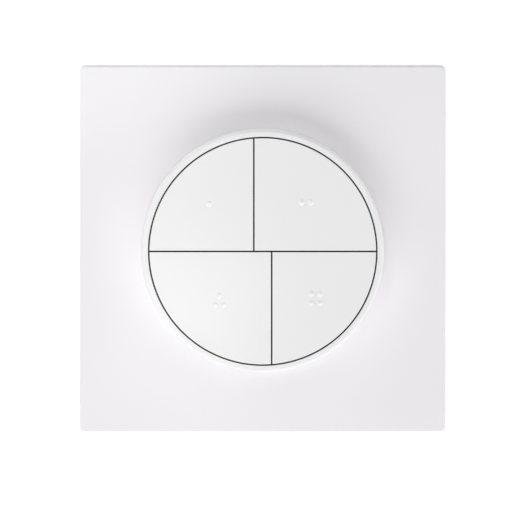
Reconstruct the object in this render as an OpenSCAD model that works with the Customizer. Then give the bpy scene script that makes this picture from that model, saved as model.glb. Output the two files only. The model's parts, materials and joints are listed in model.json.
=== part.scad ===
// Wireless scene remote: a round remote with a split face of four keys,
// held by magnets in a square wall plate.
// The wall is the plane z = 0. +Z comes out of the front face and +Y is up on the wall.

/* [Wall plate] */
// Side of the square plate
plate_size = 86; // [80:0.5:100]
// Height of the plate's front face above the wall
plate_t = 8; // [7:0.1:9]
// Radius of the plate's corners, seen from the front
plate_corner_r = 1.2; // [1:0.1:4]
// Radius of the rounded front edge
plate_edge_r = 0.35; // [0.2:0.05:0.9]
// Thickness of the plate's front skin and side walls
plate_wall = 2; // [1.6:0.1:2.4]
// Radial gap between the remote's back shell and the hole that it sits in
pocket_gap = 0.3; // [0.2:0.05:0.5]
// Thickness of the round wall that lines the hole
pocket_wall = 1.6; // [1.2:0.1:2]
// Radius of the hole's rounded front edge
pocket_edge_r = 0.3; // [0.1:0.05:0.5]
// Thickness of the stiffening ribs behind the front skin
rib_t = 1.2; // [0.8:0.1:1.6]
// Gap between those ribs and the bracket
rib_gap = 0.9; // [0.5:0.1:1.4]
// Width of the slot for prising the frame off the bracket
pry_w = 8; // [6:0.5:12]
// Height of the prising slot
pry_h = 1.2; // [1:0.1:1.6]
// Width of the rib that keeps the remote upright in the hole
guide_w = 3; // [2:0.1:4]
// How far that rib reaches into the remote
guide_d = 0.6; // [0.4:0.05:0.7]

/* [Wall bracket] */
// Thickness of the bracket's plate
bracket_t = 2.2; // [2:0.1:2.6]
// Radius of the bracket's corners
bracket_corner_r = 1; // [0.5:0.1:3]
// Gap all round between the bracket and the frame's side walls
bracket_gap = 0.4; // [0.2:0.05:0.6]
// Distance between the two wall screws of a pair
screw_pitch = 60; // [59:0.1:62]
// Width of the wall-screw slots
slot_w = 4.2; // [3.8:0.1:4.6]
// Length of the wall-screw slots, end to end
slot_l = 7; // [6:0.1:7.6]
// Width of the countersink for a flat screw head
slot_head_w = 6.8; // [6:0.1:7.4]
// Width of a clip that holds the frame
clip_w = 8; // [6:0.5:10]
// Thickness of a clip
clip_t = 1.4; // [1:0.1:1.8]
// Height of a clip's hooked head
clip_head_h = 1.2; // [1:0.1:1.4]
// Height of the blunt end of a clip's hook
clip_land = 0.4; // [0.2:0.05:0.6]
// How far a clip reaches into the frame's side wall
clip_bite = 0.5; // [0.3:0.05:0.6]
// Distance of each clip from the middle of its side
clip_offset = 22; // [18:0.5:26]
// Side of a square adhesive pad
pad_size = 18; // [14:0.5:20]
// Radius of a pad's corners
pad_corner_r = 1.5; // [0.5:0.1:3]
// Distance of the pads from the bracket's edges
pad_inset = 3; // [2:0.5:5]
// Thickness of an adhesive pad
pad_t = 0.8; // [0.6:0.05:1]
// How far the pads stand out behind the bracket
pad_proud = 0.3; // [0.2:0.05:0.4]
// Outer diameter of the steel ring that the magnets hold on to
keeper_d = 49; // [48:0.1:49.6]
// Bore of the steel ring
keeper_bore = 28; // [27:0.5:30]
// Thickness of the steel ring
keeper_t = 0.8; // [0.7:0.1:1.2]
// How deep the steel ring is let into the bracket
keeper_sink = 0.5; // [0.3:0.05:0.6]

/* [Remote housing] */
// Outer diameter of the remote
remote_d = 57; // [56:0.1:61]
// Width of the rim round the keys
rim_w = 1.6; // [1.4:0.05:1.9]
// Radius of the rim's rounded outer edge
rim_edge_r = 0.7; // [0.4:0.05:1]
// How far the bezel stands out past the back shell, over the plate's front
rim_step = 0.9; // [0.7:0.05:1.1]
// Gap between the bezel and the plate's front
rim_gap = 0.1; // [0.05:0.05:0.3]
// Thickness of the bezel's side wall
bezel_wall = 1.4; // [1.2:0.05:1.5]
// Radius of the back shell's rounded edge
back_edge_r = 1.2; // [0.6:0.1:1.6]
// Thickness of the back shell's floor
floor_t = 1.3; // [1.2:0.1:1.8]
// Thickness of the lip that centres the bezel on the back shell
lip_t = 0.8; // [0.7:0.05:0.9]
// Thickness of the ledge inside the bezel that the key frame clamps
ledge_t = 1.4; // [1:0.1:1.6]
// Width of that ledge, inwards from the key well
ledge_w = 1.9; // [1.2:0.1:2]
// Diameter of a magnet
magnet_d = 8; // [7:0.1:8.4]
// Thickness of a magnet
magnet_t = 1.8; // [1.5:0.1:2.2]
// Thickness of the floor under a magnet
magnet_skin = 0.6; // [0.4:0.05:0.8]
// Thickness of the wall round a magnet
magnet_cup_t = 1; // [0.8:0.1:1.2]

/* [Keys] */
// How far each vertical gap lies from the remote's middle
key_split = 2.1; // [1:0.1:3]
// Width of the gaps between the keys and round them
key_gap = 0.28; // [0.2:0.02:0.4]
// Thickness of a key
key_t = 1.5; // [1.3:0.1:2]
// Radius of the keys' rounded edges
key_edge_r = 0.15; // [0.1:0.05:0.3]
// How far the keys stand above the rim
key_proud = 0.1; // [0:0.05:0.3]
// Travel of a key
key_travel = 0.5; // [0.3:0.05:0.6]
// Diameter of a raised dot
dot_d = 1.2; // [0.9:0.05:1.4]
// Height of a raised dot
dot_h = 0.3; // [0.2:0.05:0.4]
// Distance between dots
dot_pitch = 2.16; // [1.8:0.02:2.6]
// Width of a key's snap leg
leg_w = 2.4; // [1.8:0.1:3]
// Thickness of a snap leg
leg_t = 1.2; // [1:0.1:1.4]
// How far a snap leg hooks under the key frame
leg_bite = 0.6; // [0.4:0.05:0.7]
// Height of a snap leg's hooked head
leg_head_h = 0.9; // [0.7:0.05:1.1]
// Height of the blunt end of a snap leg's hook
leg_land = 0.3; // [0.2:0.05:0.5]
// Distance of the snap legs from a key's straight edges
leg_inset = 3.5; // [3:0.1:4]
// Distance of the outer snap legs from the round edge
leg_outset = 4.5; // [4.3:0.1:5.5]
// Diameter of the peg under a key that pushes its switch
peg_d = 3.4; // [3:0.1:3.6]
// Length of that peg
peg_h = 0.8; // [0.7:0.1:1.4]

/* [Key frame] */
// Thickness of the key frame
frame_t = 1.2; // [1:0.1:1.4]
// Diameter of the posts that the case screws bite into
post_d = 4.2; // [3.8:0.1:4.4]
// Angle of the posts from the horizontal
post_angle = 65; // [60:1:67]
// Diameter of a case screw's shank
screw_d = 2; // [1.8:0.05:2.2]
// Diameter of a case screw's head
screw_head_d = 3.6; // [3.2:0.1:4]
// Height of a case screw's head
screw_head_h = 1.2; // [1:0.1:1.4]
// How far a case screw's head lies inside the back shell
screw_head_sink = 0.3; // [0.2:0.05:0.5]
// Diameter of the back shell's screw bosses
boss_d = 6; // [5.6:0.1:6.4]
// Diameter of the light hole over the status light
light_hole_d = 1.8; // [1.2:0.1:2.4]

/* [Switches and circuit board] */
// Thickness of the circuit board
board_t = 1.2; // [1:0.1:1.6]
// Side of a square tactile switch
switch_w = 6; // [5.6:0.1:6.4]
// Height of a tactile switch, with its metal cover
switch_h = 3.5; // [3.3:0.1:3.8]
// Thickness of a switch's metal cover
switch_cover_t = 0.3; // [0.2:0.05:0.4]
// Depth of the well inside a switch
switch_well_h = 1.8; // [1.8:0.1:2.2]
// Height of the snap dome in that well
dome_h = 0.7; // [0.6:0.05:0.8]
// Thickness of the snap dome
dome_t = 0.15; // [0.1:0.01:0.2]
// Diameter of a switch plunger
plunger_d = 3.5; // [3:0.1:3.6]
// Width of the flange that keeps a plunger in its switch
plunger_flange = 0.55; // [0.4:0.05:0.6]
// How far a plunger stands above its switch
plunger_out = 0.8; // [0.7:0.05:1]
// Width of the radio module's board
radio_w = 13; // [10:0.5:14]
// Length of the radio module's board
radio_l = 12; // [10:0.5:12.4]
// Thickness of the radio module's board
radio_t = 0.8; // [0.6:0.1:1]
// Width of the radio module's shield
shield_w = 10; // [8:0.5:10]
// Length of the shield
shield_l = 8; // [6:0.5:9]
// Height of the shield
shield_h = 1.6; // [1.2:0.1:1.8]
// Distance of the shield from the module's lower edge
shield_inset = 0.6; // [0.2:0.1:1]
// Length of the status light
led_l = 1.6; // [1:0.1:2]
// Width of the status light
led_w = 0.8; // [0.5:0.1:1.2]
// Height of the status light
led_h = 0.6; // [0.4:0.1:1]
// Length of a chip part
chip_l = 1.6; // [1:0.1:2]
// Width and height of a chip part
chip_w = 0.8; // [0.5:0.1:1.2]
// Distance between the chip parts of a row
chip_pitch = 3.4; // [2.4:0.1:3.6]
// Distance between the rows of chip parts
chip_rows = 4; // [2:0.1:5]

/* [Battery] */
// Diameter of the coin cell
cell_d = 20; // [19.6:0.1:20.6]
// Thickness of the coin cell
cell_t = 3.2; // [3:0.1:3.6]
// Height of the cell's smaller end
cell_cap_h = 0.5; // [0.3:0.1:0.7]
// Width of the step round that end
cell_cap_step = 1.4; // [1:0.1:2]
// Thickness of the cell's contact springs
contact_t = 0.3; // [0.2:0.05:0.4]
// Width of the contact at the cell's side
blade_w = 5; // [4:0.1:5.6]
// Length of that contact's foot under the board
blade_foot = 3.6; // [3:0.1:5]
// Direction of that contact, as an angle from the horizontal
blade_turn = 45; // [35:1:55]
// Diameter of the leaf contact's middle
leaf_hub_d = 4.5; // [4:0.1:5]
// Reach of the leaf contact's arms
leaf_reach = 6; // [5:0.1:7]
// Width of an arm
leaf_w = 1.6; // [1.2:0.1:2]
// Diameter of the pad at the end of an arm
leaf_tip_d = 2.4; // [2:0.1:3]
// Thickness of the cell holder's wall
holder_t = 1.1; // [0.9:0.1:1.3]
// Thickness of the battery door's rim
door_rim_t = 1; // [0.8:0.1:1.2]
// Height of the battery door's rim
door_rim_h = 0.8; // [0.6:0.05:1]
// Thickness of the battery door's flange
door_flange_t = 0.6; // [0.5:0.05:0.65]
// How far a lug of the door reaches under the back shell's ledge
door_lug_w = 1.4; // [1:0.1:1.6]
// Angle that a lug spans
door_lug_angle = 28; // [20:1:30]
// Play of a lug in its way in, as an angle
door_lug_play = 6; // [4:1:8]
// Turn that frees the battery door
door_turn = 40; // [37:1:44]
// Diameter of the coin that fits the door's slot
coin_d = 28; // [24:0.5:30]
// Width of the coin slot
coin_t = 1.8; // [1.4:0.1:2.2]
// Depth of the coin slot
coin_depth = 0.8; // [0.5:0.05:0.9]

/* [Hidden] */
$fn = 96;
// Overlap where one shape is fused to another, or where a cut runs past a face
join = 0.3;
// Fit of parts that seat in one another
fit = 0.1;
// Fit of parts that slide or turn in one another
slide_fit = 0.05;
// Clearance round parts that pass one another
clear = 0.25;
// Room left under a key at the end of its travel, over a clip, and round the board
move_gap = 0.4;

// Wall plate and bracket
plate_half = plate_size / 2;
plate_in = plate_half - plate_wall;
skin_z = plate_t - plate_wall;
bracket_half = plate_in - bracket_gap;
bracket_z = pad_proud;
bracket_top = bracket_z + bracket_t;
clip_h = skin_z - bracket_top - move_gap;
pad_place = bracket_half - pad_size / 2 - pad_inset;
keeper_z = bracket_top - keeper_sink;

// Heights in the remote, from its back face to its keys
remote_z = keeper_z + keeper_t + fit;
floor_z = remote_z + floor_t;
split_z = plate_t + rim_gap;
shell_h = split_z - remote_z;
cell_z = floor_z + fit;
board_z = cell_z + cell_t + contact_t;
board_top = board_z + board_t;
switch_lid_z = board_top + switch_h - switch_cover_t;
plunger_top = board_top + switch_h + plunger_out;
key_z = plunger_top + peg_h;
key_top = key_z + key_t;
rim_top = key_top - key_proud;
frame_top = key_z - key_travel - move_gap;
frame_z = frame_top - frame_t;
lip_h = frame_z - ledge_t - move_gap - split_z;
guide_h = shell_h - 4 * clear;

// Radii in the remote
remote_r = remote_d / 2;
cup_r = remote_r - rim_step;
pocket_r = cup_r + pocket_gap;
well_r = remote_r - rim_w;
key_r = well_r - key_gap;
ledge_r = well_r - ledge_w;
bore_r = remote_r - bezel_wall;
lip_r = bore_r - fit;
lip_in = lip_r - lip_t;
board_r = lip_in - move_gap;

// Battery door and cell holder
cell_r = cell_d / 2;
door_rim_in = cell_r + 2 * fit;
door_rim_out = door_rim_in + door_rim_t;
door_hole_r = door_rim_out + 2 * fit;
door_lug_r = door_hole_r + door_lug_w;
door_flange_r = door_lug_r + 2 * fit;
door_seat_r = door_flange_r + 2 * fit;
door_ledge_z = remote_z + slide_fit + door_flange_t + slide_fit;
door_lugs = 3;
leaf_arms = 3;
holder_in = cell_r + fit + slide_fit;
holder_out = holder_in + holder_t;
holder_z = floor_z + door_rim_h + 2 * fit;

// Case screws and magnets
post_place = (ledge_r - post_d / 2 - move_gap) * [cos(post_angle), sin(post_angle)];
head_seat = remote_z + screw_head_sink + screw_head_h;
magnet_place = (door_seat_r + lip_in) / 2;

// Switches
dome_z = switch_lid_z - switch_well_h;
flange_z = dome_z + dome_h + slide_fit / 2;
flange_r = plunger_d / 2 + plunger_flange;
switch_well_r = flange_r + 2 * fit;

// Keys: side in X, side in Y, and where the key begins, measured towards its side
KEYS = [[-1, 1, key_split], [1, 1, -key_split], [-1, -1, -key_split], [1, -1, key_split]];
// Places of the dots on each key, in steps of the dot pitch
DOTS = [
    [[0, 0]],
    [[-0.5, 0], [0.5, 0]],
    [[0, 0.5], [-0.5, -0.5], [0.5, -0.5]],
    [[-0.5, 0.5], [0.5, 0.5], [-0.5, -0.5], [0.5, -0.5]]];

// Area and centre of the part of the keys' disc that lies past u = a and v = 0
function key_area(a) =
    pow(key_r, 2) / 2 * (90 - asin(a / key_r)) * PI / 180
    - a * sqrt(pow(key_r, 2) - pow(a, 2)) / 2;
function key_centre(k) =
    let (a = k[2], area = key_area(a))
    [k[0] * pow(pow(key_r, 2) - pow(a, 2), 1.5) / 3 / area,
     k[1] * (pow(key_r, 2) * (key_r - a) - (pow(key_r, 3) - pow(a, 3)) / 3) / 2 / area];
// Places of a key's snap legs, each with the side that its hook points to
function key_legs(k) = [
    [k[2] + leg_inset, leg_inset, 1],
    [key_r - leg_outset, leg_inset, 1],
    [k[2] + leg_inset, key_r - leg_outset, -1]];
// Middle between two keys' switches
function between(a, b) = (key_centre(KEYS[a]) + key_centre(KEYS[b])) / 2;
// Radius of a ball whose cap has this width and height
function cap_ball_r(d, h) = (pow(d / 2, 2) + pow(h, 2)) / 2 / h;

// Outline of a wall with its upper outer corner rounded
module rounded_profile(w, h, r) {
    square([w - r, h]);
    square([w, h - r]);
    translate([w - r, h - r]) circle(r);
}

// What to take off a sharp corner at the origin, with the solid to the right and below
module corner_cut(r) {
    difference() {
        translate([-join, -r]) square([r + join, r + join]);
        translate([r, -r]) circle(r);
    }
}

module rounded_square(side, r) {
    square([side, side - 2 * r], center = true);
    square([side - 2 * r, side], center = true);
    for (x = [-1, 1], y = [-1, 1])
        translate([x, y] * (side / 2 - r)) circle(r);
}

// Square slab with rounded corners and a rounded upper edge
module rounded_slab(side, h, corner_r, edge_r) {
    flat = side - 2 * corner_r;
    translate([-flat / 2, -flat / 2, 0]) cube([flat, flat, h]);
    for (turn = [0:90:270]) rotate(turn) translate([flat / 2, flat / 2, 0]) {
        rotate_extrude(angle = 90) rounded_profile(corner_r, h, edge_r);
        rotate([90, 0, 0]) linear_extrude(flat) rounded_profile(corner_r, h, edge_r);
    }
}

module ring(outer, inner, h) {
    difference() {
        cylinder(r = outer, h = h);
        translate([0, 0, -join]) cylinder(r = inner, h = h + 2 * join);
    }
}

// Box centred on the origin in X and Y, standing on z = 0
module standing_box(w, l, h) {
    translate([-w / 2, -l / 2, 0]) cube([w, l, h]);
}

// Slot along X with a countersink for flat screw heads, its upper face at z = 0
module screw_slot() {
    run = slot_l - slot_w;
    sink = (slot_head_w - slot_w) / 2;
    deep = bracket_t + join;
    for (x = [-run / 2, run / 2]) translate([x, 0, 0]) {
        translate([0, 0, -deep]) cylinder(d = slot_w, h = deep);
        translate([0, 0, -sink]) cylinder(d1 = slot_w, d2 = slot_head_w, h = sink);
    }
    translate([0, 0, -deep]) standing_box(run, slot_w, deep);
    translate([-run / 2, 0, 0]) rotate([90, 0, 90]) linear_extrude(run)
        polygon([[-slot_w / 2, -sink], [slot_w / 2, -sink], [slot_head_w / 2, 0], [-slot_head_w / 2, 0]]);
}

// Repeats its children at both clips of each side, with +X pointing out of the plate
module each_clip() {
    for (turn = [0:90:270], y = [-1, 1]) rotate(turn) translate([0, y * clip_offset, 0]) children();
}

module each_pad() {
    for (x = [-1, 1], y = [-1, 1]) translate([x * pad_place, y * pad_place, 0]) children();
}

module each_post() {
    for (x = [-1, 1], y = [-1, 1]) translate([x * post_place[0], y * post_place[1], 0]) children();
}

module each_magnet() {
    for (turn = [0:90:270]) rotate(turn) translate([magnet_place, 0, 0]) children();
}

module each_switch() {
    for (k = KEYS) translate(key_centre(k)) children();
}

// Ribs behind the front skin, from the hole's wall to the sides and into the corners
module frame_ribs() {
    start = pocket_r + pocket_wall / 2;
    low = bracket_top + rib_gap;
    for (turn = [0:45:315]) rotate(turn) {
        end = turn % 90 == 0 ? plate_in + join : plate_in * sqrt(2);
        translate([start, -rib_t / 2, low]) cube([end - start, rib_t, skin_z + join - low]);
    }
}

module front_frame() color("whitesmoke") {
    difference() {
        union() {
            difference() {
                translate([0, 0, bracket_z])
                    rounded_slab(plate_size, plate_t - bracket_z, plate_corner_r, plate_edge_r);
                translate([0, 0, bracket_z - join])
                    standing_box(2 * plate_in, 2 * plate_in, skin_z - bracket_z + join);
            }
            translate([0, 0, bracket_top])
                cylinder(r = pocket_r + pocket_wall, h = skin_z - bracket_top + join);
            frame_ribs();
        }
        translate([0, 0, -join]) cylinder(r = pocket_r, h = plate_t + 2 * join);
        translate([0, 0, plate_t]) rotate_extrude() translate([pocket_r, 0]) corner_cut(pocket_edge_r);
        // Grooves that the bracket's clips spring into
        each_clip()
            translate([plate_in - join, -clip_w / 2 - clear, bracket_top + clip_h - clip_head_h - clear])
                cube([clip_bite + clear + join, clip_w + 2 * clear, clip_head_h + 2 * clear]);
        // Slot for prising the frame off
        translate([0, -plate_half, bracket_z - join])
            standing_box(pry_w, 2 * (plate_wall + join), pry_h + join);
    }
    // Rib in the lower side of the hole, which the remote's groove slides over
    translate([-guide_w / 2, -pocket_r - join, bracket_top])
        cube([guide_w, join + pocket_gap + guide_d, guide_h]);
}

module wall_bracket() color("gainsboro") {
    reach = bracket_half + bracket_gap + clip_bite;
    head_z = clip_h - clip_head_h;
    difference() {
        translate([0, 0, bracket_z]) linear_extrude(bracket_t)
            rounded_square(2 * bracket_half, bracket_corner_r);
        each_pad() translate([0, 0, bracket_z - join])
            linear_extrude(pad_t - pad_proud + join) rounded_square(pad_size + 2 * fit, pad_corner_r);
        for (turn = [0:90:270]) rotate(turn) translate([screw_pitch / 2, 0, bracket_top]) screw_slot();
        translate([0, 0, keeper_z]) ring(keeper_d / 2 + fit, keeper_bore / 2 - fit, keeper_sink + join);
    }
    each_clip() translate([0, clip_w / 2, bracket_top]) rotate([90, 0, 0]) linear_extrude(clip_w)
        polygon([
            [bracket_half - clip_t, -join], [bracket_half, -join], [bracket_half, head_z],
            [reach, head_z], [reach, head_z + clip_land],
            [bracket_half, clip_h], [bracket_half - clip_t, clip_h]]);
}

module keeper_ring() color("silver") {
    translate([0, 0, keeper_z]) ring(keeper_d / 2, keeper_bore / 2, keeper_t);
}

module adhesive_pads() color("lightgray") {
    each_pad() linear_extrude(pad_t) rounded_square(pad_size, pad_corner_r);
}

module bezel() color("whitesmoke") {
    rotate_extrude() difference() {
        translate([ledge_r, split_z]) rounded_profile(remote_r - ledge_r, rim_top - split_z, rim_edge_r);
        translate([0, frame_z]) square([well_r, rim_top - frame_z + join]);
        translate([0, split_z - join]) square([bore_r, frame_z - ledge_t - split_z + join]);
        translate([well_r, rim_top]) corner_cut(key_edge_r);
    }
}

// Cup with a stepped wall, whose lip centres the bezel
module back_cup() {
    rotate_extrude() {
        translate([0, split_z]) mirror([0, 1]) difference() {
            rounded_profile(cup_r, shell_h, back_edge_r);
            translate([0, -join]) square([lip_in, shell_h - floor_t + join]);
        }
        translate([lip_in, split_z - join]) square([lip_t, lip_h + join]);
    }
}

module back_shell() color("whitesmoke") {
    difference() {
        union() {
            back_cup();
            each_post() translate([0, 0, floor_z - join])
                cylinder(d = boss_d, h = board_z - floor_z + join);
            each_magnet() translate([0, 0, floor_z - join]) cylinder(
                d = magnet_d + 2 * (fit + magnet_cup_t), h = magnet_skin + magnet_t - floor_t + join);
        }
        // Opening for the battery door, with a seat for its flange and a way in for its lugs
        translate([0, 0, remote_z - join]) {
            cylinder(r = door_hole_r, h = floor_t + 2 * join);
            cylinder(r = door_seat_r, h = door_ledge_z - remote_z + join);
            for (i = [1:door_lugs]) rotate(i * 360 / door_lugs - door_turn)
                door_sector(door_lug_r + 2 * fit, door_lug_angle + door_lug_play, floor_t + 2 * join);
        }
        each_magnet() translate([0, 0, remote_z + magnet_skin])
            cylinder(d = magnet_d + 2 * fit, h = magnet_t + join);
        each_post() translate([0, 0, remote_z - join]) {
            cylinder(d = screw_head_d + 4 * fit, h = head_seat - remote_z + join);
            cylinder(d = screw_d + 2 * fit, h = board_z - remote_z + 2 * join);
        }
        // Groove for the plate's guide rib
        translate([0, -cup_r, remote_z - join])
            standing_box(guide_w + 2 * clear, 2 * (guide_d + clear), guide_h + clear + join);
    }
}

// Ring sector round the +X axis, from inside the door's rim to the given radius
module door_sector(outer, angle, h) {
    inner = door_rim_out - join;
    rotate(-angle / 2) rotate_extrude(angle = angle) translate([inner, 0]) square([outer - inner, h]);
}

module battery_door() color("whitesmoke") {
    door_z = remote_z + slide_fit;
    difference() {
        union() {
            translate([0, 0, door_z]) cylinder(r = door_flange_r, h = door_flange_t);
            translate([0, 0, door_z]) cylinder(r = door_rim_out, h = floor_z - door_z);
            translate([0, 0, floor_z - join]) ring(door_rim_out, door_rim_in, door_rim_h + join);
            for (i = [1:door_lugs]) rotate(i * 360 / door_lugs) translate([0, 0, floor_z + fit])
                door_sector(door_lug_r, door_lug_angle, door_rim_h - fit);
        }
        // Coin slot with a round bottom
        translate([0, coin_t / 2, door_z + coin_depth - coin_d / 2]) rotate([90, 0, 0])
            cylinder(d = coin_d, h = coin_t);
    }
}

// Window that a snap leg springs through, wider behind the leg so that it can bend
module leg_window(side) {
    behind = leg_t / 2 + leg_bite + clear;
    before = leg_t / 2 + 2 * fit;
    mirror([0, side > 0 ? 0 : 1]) translate([-leg_w / 2 - 2 * fit, -behind, 0])
        cube([leg_w + 4 * fit, behind + before, frame_t + 2 * join]);
}

// Black deck under the keys, whose posts take the case screws
module key_frame() color("dimgray") {
    window = switch_w + 2 * clear;
    difference() {
        union() {
            translate([0, 0, frame_z]) cylinder(r = well_r - fit, h = frame_t);
            each_post() translate([0, 0, board_top]) cylinder(d = post_d, h = frame_z - board_top + join);
        }
        each_post() translate([0, 0, board_top - join])
            cylinder(d = screw_d + 2 * slide_fit, h = frame_z + frame_t / 2 - board_top + join);
        translate([0, 0, frame_z - join]) {
            each_switch() standing_box(window, window, frame_t + 2 * join);
            for (k = KEYS, leg = key_legs(k))
                translate([k[0] * leg[0], k[1] * leg[1], 0]) leg_window(k[1] * leg[2]);
            cylinder(d = light_hole_d, h = frame_t + 2 * join);
        }
    }
}

// Snap leg under a key, with its hook pointing to the given side in Y
module snap_leg(side) {
    hook_z = frame_z - fit;
    hook_v = leg_t / 2 + leg_bite;
    translate([0, 0, hook_z - leg_head_h])
        standing_box(leg_w, leg_t, key_z + join - hook_z + leg_head_h);
    mirror([0, side > 0 ? 0 : 1]) translate([-leg_w / 2, 0, hook_z]) rotate([90, 0, 90])
        linear_extrude(leg_w) polygon([
            [0, 0], [hook_v, 0], [hook_v, -leg_land], [leg_t / 2, -leg_head_h], [0, -leg_head_h]]);
}

// Sector of the round face, with every upper edge rounded
module key_plate(k) {
    far = key_r + join;
    translate([0, 0, key_z]) intersection() {
        rotate_extrude() rounded_profile(key_r, key_t, key_edge_r);
        translate([k[0] * far, far, 0]) mirror([k[0] > 0 ? 1 : 0, 0]) rotate([90, 0, 0])
            linear_extrude(2 * far) rounded_profile(far - k[2] - key_gap / 2, key_t, key_edge_r);
        translate([-far, k[1] * far, 0]) mirror([0, k[1] > 0 ? 1 : 0]) rotate([90, 0, 90])
            linear_extrude(2 * far) rounded_profile(far - key_gap / 2, key_t, key_edge_r);
    }
}

// One key: its plate, its raised dots, the peg over its switch and its snap legs
module key(i) color("white") {
    k = KEYS[i];
    ball_r = cap_ball_r(dot_d, dot_h);
    key_plate(k);
    translate(key_centre(k)) {
        for (dot = DOTS[i])
            translate(concat(dot * dot_pitch, key_top + dot_h - ball_r)) sphere(ball_r);
        translate([0, 0, plunger_top]) cylinder(d = peg_d, h = peg_h + join);
    }
    for (leg = key_legs(k)) translate([k[0] * leg[0], k[1] * leg[1], 0]) snap_leg(k[1] * leg[2]);
}

module circuit_board() color("darkgreen") {
    difference() {
        translate([0, 0, board_z]) cylinder(r = board_r, h = board_t);
        each_post() translate([0, 0, board_z - join]) cylinder(d = screw_d + 4 * fit, h = board_t + 2 * join);
    }
}

// Radio module, between the two upper switches
module radio_board() color("darkslateblue") {
    translate(concat(between(0, 1), board_top)) standing_box(radio_w, radio_l, radio_t);
}

module radio_shield() color("silver") {
    rise = (shield_l - radio_l) / 2 + shield_inset;
    translate(concat(between(0, 1) + [0, rise], board_top + radio_t))
        standing_box(shield_w, shield_l, shield_h);
}

module status_led() color("white") {
    translate([0, 0, board_top]) standing_box(led_l, led_w, led_h);
}

// Small chip parts, in two rows between the lower switches
module chip_parts() color("tan") {
    for (x = [-1:1], y = [-0.5, 0.5])
        translate(concat(between(2, 3) + [x * chip_pitch, y * chip_rows], board_top))
            standing_box(chip_l, chip_w, chip_w);
}

module switch_bases() color("black") {
    each_switch() difference() {
        translate([0, 0, board_top]) standing_box(switch_w, switch_w, switch_lid_z - board_top);
        translate([0, 0, dome_z]) cylinder(r = switch_well_r, h = switch_well_h + join);
    }
}

module switch_covers() color("silver") {
    each_switch() translate([0, 0, switch_lid_z]) difference() {
        standing_box(switch_w, switch_w, switch_cover_t);
        translate([0, 0, -join]) cylinder(d = plunger_d + 2 * slide_fit, h = switch_cover_t + 2 * join);
    }
}

// Spring dome that pushes a plunger back
module snap_dome(i) color("goldenrod") {
    rim_r = switch_well_r - fit;
    ball_r = cap_ball_r(2 * rim_r, dome_h);
    translate(concat(key_centre(KEYS[i]), dome_z)) intersection() {
        translate([0, 0, dome_h - ball_r]) difference() {
            sphere(ball_r);
            sphere(ball_r - dome_t);
        }
        cylinder(r = switch_well_r, h = dome_h + join);
    }
}

module plunger(i) color("black") {
    translate(concat(key_centre(KEYS[i]), flange_z)) {
        cylinder(r = flange_r, h = switch_lid_z - fit - flange_z);
        cylinder(d = plunger_d, h = plunger_top - flange_z);
    }
}

// Ring under the board that centres the cell, open where the side contact stands
module cell_holder() color("black") {
    h = board_z - holder_z;
    difference() {
        translate([0, 0, holder_z]) ring(holder_out, holder_in, h);
        rotate(blade_turn) translate([holder_in, 0, holder_z - join])
            standing_box(4 * holder_t, blade_w + 4 * clear, h + 2 * join);
    }
}

module coin_cell() color("silver") {
    can_h = cell_t - cell_cap_h;
    translate([0, 0, cell_z]) rotate_extrude() {
        square([cell_r - cell_cap_step, cell_t]);
        translate([0, can_h]) mirror([0, 1]) rounded_profile(cell_r, can_h, cell_cap_h);
    }
}

// Spring blade against the cell's side, with a foot under the board
module contact_positive() color("gold") {
    rotate(blade_turn) translate([cell_r + slide_fit, -blade_w / 2, 0]) {
        translate([0, 0, holder_z]) cube([contact_t, blade_w, board_z - holder_z]);
        translate([0, 0, board_z - contact_t]) cube([blade_foot, blade_w, contact_t]);
    }
}

// Three-armed leaf between the cell and the board
module contact_negative() color("gold") {
    translate([0, 0, board_z - contact_t]) linear_extrude(contact_t) {
        circle(d = leaf_hub_d);
        for (i = [1:leaf_arms]) rotate(90 + i * 360 / leaf_arms) {
            translate([0, -leaf_w / 2]) square([leaf_reach, leaf_w]);
            translate([leaf_reach, 0]) circle(d = leaf_tip_d);
        }
    }
}

module magnets() color("lightslategray") {
    each_magnet() translate([0, 0, remote_z + magnet_skin]) cylinder(d = magnet_d, h = magnet_t);
}

module case_screws() color("silver") {
    each_post() {
        translate([0, 0, head_seat - screw_head_h]) cylinder(d = screw_head_d, h = screw_head_h);
        translate([0, 0, head_seat - join]) cylinder(d = screw_d, h = frame_z + 2 * fit - head_seat + join);
    }
}

front_frame();
wall_bracket();
keeper_ring();
adhesive_pads();
bezel();
back_shell();
key_frame();
circuit_board();
radio_board();
radio_shield();
status_led();
chip_parts();
switch_bases();
switch_covers();
cell_holder();
coin_cell();
contact_positive();
contact_negative();
magnets();
case_screws();
battery_door();
for (i = [0:3]) {
    key(i);
    plunger(i);
    snap_dome(i);
}
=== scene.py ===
# Square wall plate with a round four-key remote: looks, light and camera
import json
import math

import bmesh
import bpy
from mathutils import Matrix, Vector

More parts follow.
